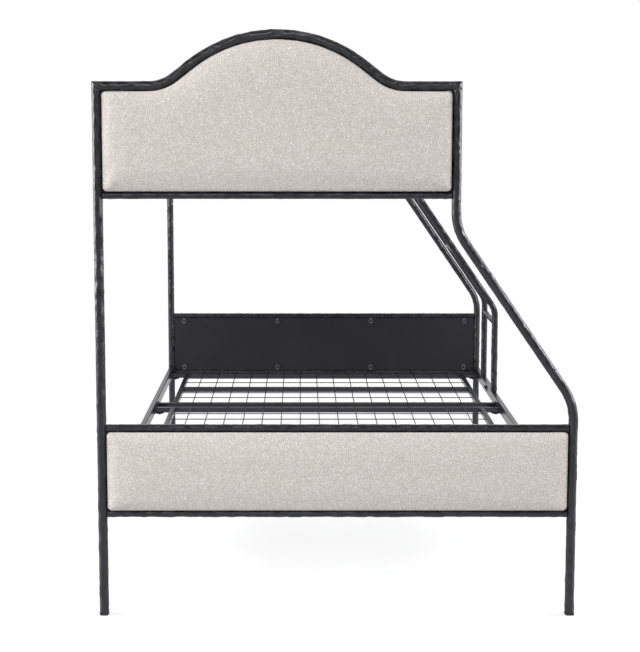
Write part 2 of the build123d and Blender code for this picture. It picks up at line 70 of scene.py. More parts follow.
# Picking: points closer than MERGE are one, a coordinate within TOUCH of a place is at it, and
# ALONG and ACROSS are cosines between an edge or a normal and an axis. Folds are in degrees
MERGE = 0.001
TOUCH = 0.1
ALONG = 0.99
ACROSS = 0.01
FLAT_FOLD = 1.0
SQUARE_FOLD = 60.0

# Angles past which an edge looks sharp, in degrees
SMOOTH_ANGLE = 32.0
BEATEN_ANGLE = 35.0
PAD_ANGLE = 80.0

# Hammered tube: sizes, bends and the hammering. Points of the profile that lie further out than
# EDGE_SHARE of half the tube's size are on its blunt edges
POST = 28.0
POST_CORNER = 7.4
BENT_POST_CORNER = 9.2
POST_BEND = 170.0
PANEL_RAIL = 20.0
PANEL_RAIL_CORNER = 4.6
RING_STEP = 6.0
EDGE_SHARE = 1.035
DENT_SPAN = 20.0
DENT_DEPTH = 1.0
BLOW_ALLOWANCE = 0.8
EDGE_FLAT_SPAN = 26.0
EDGE_FLAT_DEPTH = 2.4
EDGE_FLAT_CONTRAST = 2.2
MITRE_OVERRUN = 20.0
WELD_OVERLAP = 2.0

# Camel-back line of the arched rail
ARCH_RISE = 150.0
ARCH_SLOPE = 38.0
ARCH_STRAIGHT = 60.0
ARCH_HOLLOW = 124.0

# Ladder
STILE = 25.0
STILE_CORNER = 5.6
STILE_BEND = 90.0
STILE_BEND_RISE = 37.0
STILE_YS = (474.5, 755.5)
STILE_BOTTOM = 344.5
STILE_TOP = 1262.0
RUNG_CORNER = 4.2

# Smooth tube and wire
SMOOTH_CORNER = 2.6
WIRE = 4.0
WIRE_SIDES = 10
WIRE_EDGE = 0.5
WIRE_PITCH = 73.6
WIRE_END = 3.0
DECK_TUBE = 20.0
CROSSWISE_PER_HALF = 2

# Brackets under the deck tubes
PLATE = 3.0
BRACKET_FOLD = 2.4
BRACKET_CORNER = 5.0

# Bolts and screws. BOLT_FLAT is half the head's width over its flats, and the washer's radius is
# WASHER_SHARE of it
BOLT_HEAD = 5.3
BOLT_FLAT = 6.5
BOLT_CROWN = 1.1
BOLT_CROWN_DROP = 0.7
WASHER = 1.2
WASHER_SIDES = 28
WASHER_SHARE = 1.22
WASHER_EDGE = 0.35
SCREW_HEAD = 2.4
SCREW_SIDES = 20
SCREW_RADIUS = 4.6
SCREW_EDGE = 1.3
SCREW_RIM = 1.2
SCREW_SOCKET = 1.2

# Lug tabs and foot glides
TAB_ROUND = 9.6
TAB_NECK_SHARE = 0.55
GLIDE_EDGE = 1.2

# Backing boards
BOARD_GROWTH = 2.0
BOARD_EDGE = 0.8

# Pads: growth into their frames, swelling by cloth pressure while PAD_HELD of their back is
# held, and a rim that is drawn back and bulges over the frame's blunt edges between two depths.
# The shares tell side, rim and front faces apart by their normals
PAD_VOXEL = 5.0
PAD_GROWTH = 1.5
PAD_HELD = 3.0
PAD_SWELL_CAP = 3.0
PAD_FRAMES = 20
SETTLE_FACTOR = 0.5
SETTLE_ROUNDS = 6
SIDE_SHARE = 0.3
RIM_SHARE = 0.45
FRONT_SHARE = 0.8
RIM_PULL = 3.5
RIM_REACH = 13.0
RIM_BULGE = 4.0
BULGE_REACH = 10.0
BULGE_DEPTHS = (7.5, 14.5)
COVER_CLOTH = {
    "quality": 5,
    "mass": 0.3,
    "tension_stiffness": 15,
    "compression_stiffness": 15,
    "bending_stiffness": 0.5,
    "use_pressure": True,
    "uniform_pressure_force": 4.0,
    "vertex_group_mass": "held",
}

# Studio: strength of the air's even light, the floor's size, how far out it fades to white, and
# each lamp's name, place, aim, size and power
AIR = 0.75
FLOOR_SIZE = 40.0
FLOOR_FADE = (1.4, 3.6)
LAMPS = (
    ("left softbox", (-3.7, -0.9, 1.6), (-0.5, -0.95, 1.3), (2.3, 2.1), 165),
    ("right softbox", (3.7, -0.6, 1.8), (0.5, -0.8, 1.3), (1.5, 2.1), 135),
    ("front light", (-0.6, -6.2, 4.0), (0, 0, 3.4), (3.4, 2.0), 169),
    ("back light", (0.5, 5.4, 4.6), (0, 0.9, 1.0), (3.4, 2.0), 95),
)

# Camera: the photograph's place, tilted down so that its shift can stay small
CAMERA_PLACE = (-0.1129, -4.5083, 1.5292)
CAMERA_TILT = 5.5
CAMERA_LENS = 66.39
CAMERA_SENSOR = 36.0
CAMERA_SHIFT = (0.0312, -0.1558)


def millimetres(*values):
    """A point given in millimetres, in metres."""
    return Vector(values) * MM


def clear_selection():
    """Nothing selected, in object mode."""
    if bpy.context.mode != "OBJECT":
        bpy.ops.object.mode_set(mode="OBJECT")
    bpy.ops.object.select_all(action="DESELECT")


def take(piece):
    """Makes a piece the only selected and active object."""
    clear_selection()
    piece.select_set(True)
    bpy.context.view_layer.objects.active = piece
    return piece


def edit(piece, action="DESELECT"):
    """Opens a piece for editing with nothing, or all, selected in it."""
    take(piece)
    bpy.ops.object.mode_set(mode="EDIT")
    bpy.ops.mesh.select_all(action=action)


def pick(kind, test):
    """Selects the vertices, edges or faces of the open piece that pass a test."""
    bpy.ops.mesh.select_mode(type=kind)
    bpy.ops.mesh.select_all(action="DESELECT")
    data = bpy.context.object.data
    mesh = bmesh.from_edit_mesh(data)
    for item in {"VERT": mesh.verts, "EDGE": mesh.edges, "FACE": mesh.faces}[kind]:
        item.select_set(test(item))
    mesh.select_flush_mode()
    bmesh.update_edit_mesh(data)


def edge_way(edge):
    """Direction of an edge."""
    return (edge.verts[1].co - edge.verts[0].co).normalized()


def middle(edge):
    """Middle of an edge."""
    return (edge.verts[0].co + edge.verts[1].co) / 2


def met(value, place):
    """Whether a coordinate lies at a place, both in metres."""
    return abs(value - place) < TOUCH * MM


def rounded(size, segments=1, affect="EDGES"):
    """Bevels what is selected by a size in millimetres."""
    bpy.ops.mesh.bevel(offset=size * MM, segments=segments, affect=affect)


def apply_place():
    """The active piece, its place moved into its mesh."""
    bpy.ops.object.transform_apply(location=True, rotation=True, scale=True)
    return bpy.context.object


def apply_modifier(piece, name, kind, **settings):
    """Applies a modifier with its settings to the active piece."""
    made = piece.modifiers.new(name, kind)
    for key, value in settings.items():
        setattr(made, key, value)
    bpy.ops.object.modifier_apply(modifier=made.name)


def block(low, high):
    """Box between two corners, in metres, as the start of a piece."""
    clear_selection()
    low, high = Vector(low), Vector(high)
    bpy.ops.mesh.primitive_cube_add(size=1, location=(low + high) / 2, scale=high - low)
    return apply_place()


def round_bar(sides, radius, depth, location, rotation=(0, 0, 0)):
    """Round bar, in metres, as the start of a piece."""
    clear_selection()
    bpy.ops.mesh.primitive_cylinder_add(
        vertices=sides, radius=radius, depth=depth, location=location, rotation=rotation
    )
    return apply_place()


def smooth_tube(low, high):
    """Drawn steel tube with round edges between two corners of its box."""
    tube = block(low, high)
    spans = [b - a for a, b in zip(low, high)]
    along = Vector([1.0 if i == spans.index(max(spans)) else 0.0 for i in range(3)])
    edit(tube)
    pick("EDGE", lambda edge: abs(edge_way(edge).dot(along)) > ALONG)
    rounded(SMOOTH_CORNER, segments=3)
    return take(tube)


def copied(piece, matrix):
    """A copy of a piece with its own mesh, moved there."""
    new = piece.copy()
    new.data = piece.data.copy()
    new.data.transform(matrix)
    if matrix.determinant() < 0:
        new.data.flip_normals()
    bpy.context.scene.collection.objects.link(new)
    return new


def joined(pieces):
    """One piece from several."""
    take(pieces[0])
    for piece in pieces[1:]:
        piece.select_set(True)
    if len(pieces) > 1:
        bpy.ops.object.join()
    return bpy.context.object


def kept_inside(piece, node):
    """Presses a piece back into the box of the CAD node it stands for."""
    low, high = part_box(node)
    for vertex in piece.data.vertices:
        vertex.co = [min(max(value, a), b) for value, a, b in zip(vertex.co, low, high)]


def finish(piece, node, manner, slot, material, angle=SMOOTH_ANGLE):
    """Names a piece after its CAD node, shades it, coats it and ties it to the frame."""
    take(piece)
    if slot == "hammered_metal":
        kept_inside(piece, node)
    piece.name = f"{node}_{manner}"
    piece.data.name = piece.name
    bpy.ops.object.shade_smooth_by_angle(angle=math.radians(angle))
    if slot not in ("hammered_metal", "greige_fabric"):
        apply_modifier(piece, "flat faces", "WEIGHTED_NORMAL", keep_sharp=True)
    piece.data.materials.clear()
    piece.data.materials.append(material)
    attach(piece, "root")
    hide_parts(node)


def solid_boxes(node):
    """Boxes of the separate solids of a CAD node, read from a merged copy of its mesh."""
    mesh = bmesh.new()
    mesh.from_mesh(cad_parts[node].data)
    bmesh.ops.remove_doubles(mesh, verts=mesh.verts, dist=MERGE * MM)
    mesh.verts.ensure_lookup_table()
    seen = [False] * len(mesh.verts)
    boxes = []
    for first in mesh.verts:
        if seen[first.index]:
            continue
        seen[first.index] = True
        waiting, points = [first], []
        while waiting:
            vertex = waiting.pop()
            points.append(vertex.co.copy())
            for edge in vertex.link_edges:
                other = edge.other_vert(vertex)
                if not seen[other.index]:
                    seen[other.index] = True
                    waiting.append(other)
        low = Vector([min(point[i] for point in points) for i in range(3)])
        high = Vector([max(point[i] for point in points) for i in range(3)])
        boxes.append((low, high))
    mesh.free()
    return boxes


# Finishes


def linear(code):
    """sRGB hex colour as linear RGBA."""
    parts = [int(code[i : i + 2], 16) / 255 for i in (1, 3, 5)]
    return [p / 12.92 if p <= 0.04045 else ((p + 0.055) / 1.055) ** 2.4 for p in parts] + [1.0]


def add(tree, kind, links=None, stops=(), **settings):
    """Adds a node with its settings.

    links maps an input to a socket or to a value; stops are a ramp's positions and colours.
    """
    made = tree.nodes.new(kind)
    for name, value in settings.items():
        setattr(made, name, value)
    for key, value in (links or {}).items():
        if isinstance(value, bpy.types.NodeSocket):
            tree.links.new(value, made.inputs[key])
        else:
            made.inputs[key].default_value = value
    for i, (position, code) in enumerate(stops):
        if i == len(made.color_ramp.elements):
            made.color_ramp.elements.new(position)
        made.color_ramp.elements[i].position = position
        made.color_ramp.elements[i].color = linear(code)
    return made


def emptied(owner):
    """Node tree of a material or of the surroundings, with nothing in it."""
    owner.use_nodes = True
    owner.node_tree.nodes.clear()
    return owner.node_tree


def new_finish(name):
    """Empty material with its tree and the object coordinates."""
    material = bpy.data.materials.new(name)
    tree = emptied(material)
    return material, tree, add(tree, "ShaderNodeTexCoord").outputs["Object"]


def coat(tree, colour, reliefs, look):
    """Ends a finish with its reliefs, each laid on the last, and its surface.

    A relief is a height, the strength of its bump and its depth in millimetres.
    """
    beneath = {}
    for height, strength, depth in reliefs:
        links = {"Height": height, "Strength": strength, "Distance": depth * MM, **beneath}
        beneath = {"Normal": add(tree, "ShaderNodeBump", links).outputs["Normal"]}
    shader = add(tree, "ShaderNodeBsdfPrincipled", {"Base Color": colour, **look, **beneath})
    add(tree, "ShaderNodeOutputMaterial", {"Surface": shader.outputs["BSDF"]})


def grained(name, size, detail, stops, relief, look):
    """Finish with one fine grain, its size in millimetres, in its colour and its relief."""
    material, tree, place = new_finish(name)
    grain = add(tree, "ShaderNodeTexNoise", {"Vector": place, "Scale": 1 / (size * MM), "Detail": detail})
    colour = add(tree, "ShaderNodeValToRGB", {"Fac": grain.outputs["Fac"]}, stops)
    coat(tree, colour.outputs["Color"], ((grain.outputs["Fac"], *relief),), look)
    return material


def hammered_steel():
    """Hand-hammered square steel tube with a gunmetal powder coat.

    The eye gets broad shallow dents, edges beaten to uneven flats that catch the side light,
    and the fine orange peel of baked powder.
    """
    material, tree, place = new_finish("hammered steel, gunmetal powder coat")
    dents = add(
        tree,
        "ShaderNodeTexVoronoi",
        {"Vector": place, "Scale": 1 / (17 * MM), "Smoothness": 0.35},
        feature="SMOOTH_F1",
    )
    peel = add(tree, "ShaderNodeTexNoise", {"Vector": place, "Scale": 1 / (2.2 * MM), "Detail": 3.0})
    patches = add(tree, "ShaderNodeTexNoise", {"Vector": place, "Scale": 1 / (22 * MM), "Detail": 5.0})
    colour = add(
        tree,
        "ShaderNodeValToRGB",
        {"Fac": patches.outputs["Fac"]},
        ((0.38, "#0C0C0F"), (0.62, "#222228")),
    )
    rough = add(
        tree,
        "ShaderNodeMapRange",
        {"Value": patches.outputs["Fac"], "From Min": 0.3, "From Max": 0.7, "To Min": 0.30, "To Max": 0.42},
    )
    reliefs = ((dents.outputs["Distance"], 0.6, 1.8), (peel.outputs["Fac"], 0.08, 0.3))
    look = {"Roughness": rough.outputs["Result"], "Metallic": 0.1}
    coat(tree, colour.outputs["Color"], reliefs, look)
    return material


def satin_steel():
    """Drawn steel tube with a smooth satin powder coat.

    The eye gets an even dark grey whose upward faces pick up the pale room, and a faint peel.
    """
    material, tree, place = new_finish("drawn steel, satin powder coat")
    peel = add(tree, "ShaderNodeTexNoise", {"Vector": place, "Scale": 1 / (1.8 * MM), "Detail": 2.0})
    patches = add(tree, "ShaderNodeTexNoise", {"Vector": place, "Scale": 1 / (120 * MM), "Detail": 3.0})
    colour = add(
        tree,
        "ShaderNodeValToRGB",
        {"Fac": patches.outputs["Fac"]},
        ((0.3, "#1A1A20"), (0.7, "#222229")),
    )
    reliefs = ((peel.outputs["Fac"], 0.12, 0.2),)
    coat(tree, colour.outputs["Color"], reliefs, {"Roughness": 0.28, "Metallic": 0.1})
    return material


def fastener_steel():
    """Black oxide bolts and screws: darker and a little oily, with fine machining noise."""
    return grained(
        "steel fastener, black oxide",
        size=0.9,
        detail=2.0,
        stops=((0.3, "#141416"), (0.7, "#1E1E21")),
        relief=(0.15, 0.15),
        look={"Roughness": 0.36, "Metallic": 0.3},
    )


def lug_steel():
    """Blanked steel lug under a thin coat: a little paler than the tube, grained by the press."""
    return grained(
        "blanked steel lug, thin powder coat",
        size=1.4,
        detail=3.0,
        stops=((0.3, "#43434A"), (0.7, "#55555C")),
        relief=(0.2, 0.2),
        look={"Roughness": 0.34, "Metallic": 0.1},
    )


def dark_board():
    """Hardboard with a dark matt lacquer: pressed fibres just show, with faint cloudy patches."""
    material, tree, place = new_finish("hardboard, dark matt lacquer")
    stretched = add(tree, "ShaderNodeMapping", {"Vector": place, "Scale": (0.35, 1.0, 1.0)})
    fibres = add(
        tree,
        "ShaderNodeTexNoise",
        {"Vector": stretched.outputs["Vector"], "Scale": 1 / (2.5 * MM), "Detail": 4.0, "Roughness": 0.6},
    )
    clouds = add(tree, "ShaderNodeTexNoise", {"Vector": place, "Scale": 1 / (180 * MM), "Detail": 2.0})
    both = add(
        tree,
        "ShaderNodeMix",
        {"Factor": 0.35, "A": clouds.outputs["Fac"], "B": fibres.outputs["Fac"]},
        data_type="FLOAT",
    )
    colour = add(
        tree,
        "ShaderNodeValToRGB",
        {"Fac": both.outputs["Result"]},
        ((0.3, "#18181D"), (0.7, "#1F1F25")),
    )
    reliefs = ((fibres.outputs["Fac"], 0.25, 0.2),)
    coat(tree, colour.outputs["Color"], reliefs, {"Roughness": 0.62, "Specular IOR Level": 0.3})
    return material


def boucle():
    """Greige boucle upholstery: curled loops of pale yarn over a warmer ground.

    Loops are just under 3 mm across, with faint clumps of 20 mm where the cloth was brushed.
    """
    material, tree, place = new_finish("boucle upholstery, greige")
    loops = add(
        tree,
        "ShaderNodeTexVoronoi",
        {"Vector": place, "Scale": 1 / (2.9 * MM), "Smoothness": 0.4, "Randomness": 1.0},
        feature="SMOOTH_F1",
    )
    curls = add(
        tree,
        "ShaderNodeTexNoise",
        {"Vector": place, "Scale": 1 / (2.0 * MM), "Detail": 2.0, "Distortion": 0.6},
    )
    clumps = add(tree, "ShaderNodeTexNoise", {"Vector": place, "Scale": 1 / (20 * MM), "Detail": 2.0})
    yarn = add(
        tree,
        "ShaderNodeMix",
        {"Factor": 0.5, "A": loops.outputs["Distance"], "B": curls.outputs["Fac"]},
        data_type="FLOAT",
    )
    tone = add(
        tree,
        "ShaderNodeMix",
        {"Factor": 0.08, "A": yarn.outputs["Result"], "B": clumps.outputs["Fac"]},
        data_type="FLOAT",
    )
    colour = add(
        tree,
        "ShaderNodeValToRGB",
        {"Fac": tone.outputs["Result"]},
        ((0.34, "#B9B1AA"), (0.5, "#D2CBC7"), (0.66, "#EAE6E2")),
    )
    look = {
        "Roughness": 0.92,
        "Specular IOR Level": 0.25,
        "Sheen Weight": 0.25,
        "Sheen Roughness": 0.5,
    }
    coat(tree, colour.outputs["Color"], ((yarn.outputs["Result"], 0.5, 1.4),), look)
    return material


def black_plastic():
    """Moulded polyethylene glide: black, slightly waxy, with a fine moulded grain."""
    return grained(
        "moulded polyethylene, black",
        size=0.8,
        detail=2.0,
        stops=((0.3, "#1B1B1D"), (0.7, "#242427")),
        relief=(0.3, 0.15),
        look={"Roughness": 0.48},
    )


HAMMERED = hammered_steel()
SATIN = satin_steel()
FASTENER = fastener_steel()
LUG = lug_steel()
BOARD = dark_board()
FABRIC = boucle()
PLASTIC = black_plastic()


# Hammered tubes


def hammer_textures():
    """Cells for the dents over the faces and clouds for the flats along the edges."""
    dents = bpy.data.textures.new("dents", "VORONOI")
    dents.noise_scale = DENT_SPAN * MM
    flats = bpy.data.textures.new("edge flats", "CLOUDS")
    flats.noise_scale = EDGE_FLAT_SPAN * MM
    flats.noise_depth = 1
    flats.contrast = EDGE_FLAT_CONTRAST
    return dents, flats


DENTS, EDGE_FLATS = hammer_textures()


def hammer(tube, scale):
    """Beats a tube: uneven flats along its edges, then dents all over, always inwards."""
    take(tube)
    for texture, depth, group in (
        (EDGE_FLATS, EDGE_FLAT_DEPTH, "edges"),
        (DENTS, DENT_DEPTH, ""),
    ):
        apply_modifier(
            tube,
            "hammering",
            "DISPLACE",
            texture=texture,
            texture_coords="LOCAL",
            mid_level=1.0,
            strength=depth * scale * MM,
            vertex_group=group,
        )


def tube_profile(start, heading, size, corner):
    """Open outline of a square tube with blunt corners, as loose edges, in edit mode."""
    clear_selection()
    turn = heading.to_track_quat("Z", "Y").to_euler()
    bpy.ops.mesh.primitive_plane_add(size=size * MM, location=start, rotation=turn)
    tube = apply_place()
    tube.vertex_groups.new(name="edges")
    edit(tube, "SELECT")
    rounded(corner, affect="VERTICES")
    pick("EDGE", lambda edge: max(abs(part) for part in edge_way(edge)) > ALONG)
    bpy.ops.mesh.subdivide(number_cuts=2)
    pick("EDGE", lambda edge: max(abs(part) for part in edge_way(edge)) < ALONG)
    bpy.ops.mesh.subdivide(number_cuts=1)
    pick("VERT", lambda vertex: (vertex.co - start).length > EDGE_SHARE * size * MM / 2)
    bpy.ops.object.vertex_group_assign()
    bpy.ops.mesh.select_mode(type="FACE")
    bpy.ops.mesh.select_all(action="SELECT")
    bpy.ops.mesh.delete(type="ONLY_FACE")
    bpy.ops.mesh.select_mode(type="EDGE")
    bpy.ops.mesh.select_all(action="SELECT")
    return tube


def drawn_along(start, heading, moves):
    """Draws the open profile along runs and turns, ring by ring."""
    place, axis = start.copy(), Vector((0, -1, 0))
    for move in moves:
        if move[0] == "run":
            steps = max(1, round(move[1] / RING_STEP))
            stride = heading * move[1] * MM / steps
            for _ in range(steps):
                bpy.ops.mesh.extrude_region_move(TRANSFORM_OT_translate={"value": stride})
            place += heading * move[1] * MM
        else:
            angle, radius = math.radians(move[1]), move[2] * MM
            centre = place + axis.cross(heading) * math.copysign(radius, angle)
            steps = max(2, round(abs(angle) * move[2] / RING_STEP))
            bpy.ops.mesh.spin(steps=steps, angle=-angle, center=centre, axis=axis)
            turn = Matrix.Rotation(angle, 3, axis)
            place = centre + turn @ (place - centre)
            heading = turn @ heading


def beaten_tube(size, corner, start, heading, moves, cuts=()):
    """Hammered tube drawn along runs and turns in its own plane, then cut at its mitres.

    A positive turn goes from +X towards +Z. A cut is (point, normal); the normal's side goes.
    """
    start, heading = Vector(start), Vector(heading)
    tube = tube_profile(start, heading, size + BLOW_ALLOWANCE, corner)
    drawn_along(start, heading, moves)
    bpy.ops.mesh.select_all(action="SELECT")
    bpy.ops.mesh.normals_make_consistent(inside=False)
    hammer(tube, size / POST)
    edit(tube)
    for point, normal in cuts:
        bpy.ops.mesh.select_all(action="SELECT")
        bpy.ops.mesh.bisect(plane_co=point, plane_no=normal, use_fill=True, clear_outer=True)
    bpy.ops.mesh.select_all(action="SELECT")
    bpy.ops.mesh.fill_holes(sides=0)
    bpy.ops.mesh.select_all(action="SELECT")
    bpy.ops.mesh.normals_make_consistent(inside=False)
    return take(tube)


def beaten_piece(node, *drawing):
    """Hammered tube that stands for one CAD node, drawn as beaten_tube says."""
    finish(beaten_tube(*drawing), node, "beaten", "hammered_metal", HAMMERED, BEATEN_ANGLE)


def bent_moves(bottom, top, bend_rise, radius):
    """Runs and turns of a post or stile that leans in from the lower to the upper width."""
    low, high = LOW_BEND_Z + bend_rise, HIGH_BEND_Z + bend_rise
    step_in, climb = LOWER_RIGHT_X - UPPER_RIGHT_X, high - low
    lean = math.atan2(step_in, climb)
    tangent = radius * math.tan(lean / 2)
    return (
        ("run", low - tangent - bottom),
        ("turn", math.degrees(lean), radius),
        ("run", math.hypot(step_in, climb) - 2 * tangent),
        ("turn", -math.degrees(lean), radius),
        ("run", top - high - tangent),
    )


def arch_moves(reach):
    """Runs and turns of the camel-back rail, reach long to each side of its middle."""
    slope = math.radians(ARCH_SLOPE)
    climb = ARCH_RISE - ARCH_STRAIGHT * math.sin(slope)
    crown = climb / (1 - math.cos(slope)) - ARCH_HOLLOW
    half = (crown + ARCH_HOLLOW) * math.sin(slope) + ARCH_STRAIGHT * math.cos(slope)
    return (
        ("run", reach - half),
        ("turn", ARCH_SLOPE, ARCH_HOLLOW),
        ("run", ARCH_STRAIGHT),
        ("turn", -2 * ARCH_SLOPE, crown),
        ("run", ARCH_STRAIGHT),
        ("turn", ARCH_SLOPE, ARCH_HOLLOW),
        ("run", reach - half),
    )


def end_frame(end, y):
    """Posts, arched rail and panel rails of one end frame."""
    left_corner = millimetres(LEFT_X, y, SHOULDER_Z)
    right_corner = millimetres(UPPER_RIGHT_X, y, SHOULDER_Z)
    left_mitre, right_mitre = Vector((1, 0, 1)), Vector((-1, 0, 1))
    up, across = Vector((0, 0, 1)), Vector((1, 0, 0))
    post_top = SHOULDER_TOP + MITRE_OVERRUN
    beaten_piece(
        f"{end}_left_post",
        POST,
        POST_CORNER,
        millimetres(LEFT_X, y, GLIDE),
        up,
        (("run", post_top - GLIDE),),
        ((left_corner, left_mitre),),
    )
    beaten_piece(
        f"{end}_right_post",
        POST,
        BENT_POST_CORNER,
        millimetres(LOWER_RIGHT_X, y, GLIDE),
        up,
        bent_moves(GLIDE, post_top, 0, POST_BEND),
        ((right_corner, right_mitre),),
    )
    reach = (UPPER_RIGHT_X - LEFT_X) / 2 + POST / 2 + MITRE_OVERRUN
    beaten_piece(
        f"{end}_arch_rail",
        POST,
        POST_CORNER,
        millimetres((LEFT_X + UPPER_RIGHT_X) / 2 - reach, y, SHOULDER_Z),
        across,
        arch_moves(reach),
        ((left_corner, -left_mitre), (right_corner, -right_mitre)),
    )
    for rail, right_x, z in (
        ("upper_panel_rail", UPPER_RIGHT_X, UPPER_PANEL_RAIL_Z),
        ("lower_panel_top_rail", LOWER_RIGHT_X, LOWER_PANEL_TOP_Z),
        ("lower_panel_bottom_rail", LOWER_RIGHT_X, LOWER_PANEL_BOTTOM_Z),
    ):
        beaten_piece(
            f"{end}_{rail}",
            PANEL_RAIL,
            PANEL_RAIL_CORNER,
            millimetres(LEFT_X + POST / 2 - WELD_OVERLAP, y, z),
            across,
            (("run", right_x - LEFT_X - POST + 2 * WELD_OVERLAP),),
        )


def ladder():
    """Hammered stiles and rungs of the ladder."""
    up, back = Vector((0, 0, 1)), Vector((0, 1, 0))
    moves = bent_moves(STILE_BOTTOM, STILE_TOP, STILE_BEND_RISE, STILE_BEND)
    for node, y in zip(("ladder_front_stile", "ladder_rear_stile"), STILE_YS):
        foot = millimetres(LOWER_RIGHT_X, y, STILE_BOTTOM)
        beaten_piece(node, STILE, STILE_CORNER, foot, up, moves)
    rungs = []
    for low, high in solid_boxes("ladder_rungs"):
        centre = (low + high) / 2
        start = (centre.x, low.y - WELD_OVERLAP * MM, centre.z)
        size, length = (high.z - low.z) / MM, (high.y - low.y) / MM + 2 * WELD_OVERLAP
        rungs.append(beaten_tube(size, RUNG_CORNER, start, back, (("run", length),)))
    finish(joined(rungs), "ladder_rungs", "beaten", "hammered_metal", HAMMERED, BEATEN_ANGLE)


# Smooth steel


def smooth_rails():
    """Side rails, deck tubes and guard rails: drawn tube with round edges."""
    nodes = [f"{level}_{side}_side_rail" for level in LEVELS for side in SIDES]
    deck_parts = ("deck_end_tubes", "deck_side_bars", "deck_stiffeners")
    nodes += [f"{level}_{part}" for level in LEVELS for part in deck_parts]
    nodes += [f"{side}_guard_{part}" for side in SIDES for part in ("rails", "uprights")]
    for node in nodes:
        tubes = [smooth_tube(low, high) for low, high in solid_boxes(node)]
        finish(joined(tubes), node, "drawn", "smooth_metal", SATIN)


def wire(low_end, high_end):
    """Round drawn wire with slightly rounded ends."""
    low_end, high_end = Vector(low_end), Vector(high_end)
    way = high_end - low_end
    turn = way.to_track_quat("Z", "Y").to_euler()
    made = round_bar(WIRE_SIDES, WIRE / 2 * MM, way.length, (low_end + high_end) / 2, turn)
    edit(made)
    pick("EDGE", lambda edge: abs(edge_way(edge).dot(way.normalized())) < ACROSS)
    rounded(WIRE_EDGE)
    return take(made)


def deck_mesh(level):
    """Welded wires of one deck: lengthwise ones on top, crosswise ones under them."""
    bars = solid_boxes(f"{level}_deck_side_bars")
    stiffeners = solid_boxes(f"{level}_deck_stiffeners")
    tubes = solid_boxes(f"{level}_deck_end_tubes")
    left = min((low.x + high.x) / 2 for low, high in bars)
    right = max((low.x + high.x) / 2 for low, high in bars)
    top = max(high.z for low, high in tubes)
    section = min(high.y - low.y + 2 * DECK_TUBE * MM for low, high in bars)
    gaps = round((right - left) / (WIRE_PITCH * MM))
    middles = sorted((low.y + high.y) / 2 for low, high in stiffeners)
    radius, inner = WIRE / 2 * MM, DECK_TUBE / 2 * MM
    first = middles[0]
    long_wire = wire(
        (0, first - section / 2 + WIRE_END * MM, top + radius),
        (0, first + section / 2 - WIRE_END * MM, top + radius),
    )
    cross_wire = wire((left + inner, 0, top - radius), (right - inner, 0, top - radius))
    wires = []
    bay = (section / 2 - 3 * inner) / (CROSSWISE_PER_HALF + 1)
    for y in middles:
        for i in range(1, gaps):
            x = left + (right - left) * i / gaps
            wires.append(copied(long_wire, Matrix.Translation((x, y - first, 0))))
        for side in (-1, 1):
            for i in range(1, CROSSWISE_PER_HALF + 1):
                wires.append(copied(cross_wire, Matrix.Translation((0, y + side * (inner + bay * i), 0))))
    bpy.data.objects.remove(long_wire)
    bpy.data.objects.remove(cross_wire)
    finish(joined(wires), f"{level}_deck_mesh", "wires", "smooth_metal", SATIN)


def bracket(low, high, rail_side):
    """Folded angle bracket: shelf under the tubes and leg against the rail."""
    shelf = block(low, (high.x, high.y, low.z + PLATE * MM))
    rail_x, free_x = (low.x, high.x) if rail_side < 0 else (high.x, low.x)
    edit(shelf, "SELECT")
    bpy.ops.mesh.bisect(plane_co=(rail_x - rail_side * PLATE * MM, 0, 0), plane_no=(1, 0, 0))
    pick(
        "FACE",
        lambda face: face.normal.z > ALONG and abs(face.calc_center_median().x - rail_x) < PLATE * MM,
    )
    rise = high.z - low.z - PLATE * MM
    bpy.ops.mesh.extrude_region_move(TRANSFORM_OT_translate={"value": (0, 0, rise)})
    pick(
        "EDGE",
        lambda edge: abs(edge_way(edge).y) > ALONG
        and met(middle(edge).x, rail_x)
        and met(middle(edge).z, low.z),
    )
    rounded(BRACKET_FOLD, segments=4)
    pick("EDGE", lambda edge: abs(edge_way(edge).z) > ALONG and met(middle(edge).x, free_x))
    rounded(BRACKET_CORNER, segments=4)
    return take(shelf)


def deck_brackets(level):
    """All brackets of one deck."""
    node = f"{level}_deck_brackets"
    boxes = solid_boxes(node)
    centre = (min(low.x for low, _ in boxes) + max(high.x for _, high in boxes)) / 2
    made = [bracket(low, high, -1 if (low.x + high.x) / 2 < centre else 1) for low, high in boxes]
    finish(joined(made), node, "folded", "smooth_metal", SATIN)


# Fasteners and tabs


def hex_bolt():
    """Hexagon-head bolt with a washer, its seat at the origin and its head upwards."""
    flat, seat, depth = BOLT_FLAT * MM, WASHER * MM, (BOLT_HEAD - WASHER) * MM
    washer = round_bar(WASHER_SIDES, flat * WASHER_SHARE, seat, (0, 0, seat / 2))
    edit(washer)
    pick("EDGE", lambda edge: met(middle(edge).z, seat))
    rounded(WASHER_EDGE)
    head = round_bar(6, flat / math.cos(math.pi / 6), depth, (0, 0, seat + depth / 2))
    edit(head)
    pick("FACE", lambda face: face.normal.z > ALONG)
    bpy.ops.mesh.inset(thickness=BOLT_CROWN * MM, depth=0)
    pick("VERT", lambda vertex: met(vertex.co.z, seat + depth) and vertex.co.xy.length > flat)
    bpy.ops.transform.translate(value=(0, 0, -BOLT_CROWN_DROP * MM))
    return joined([take(washer), head])


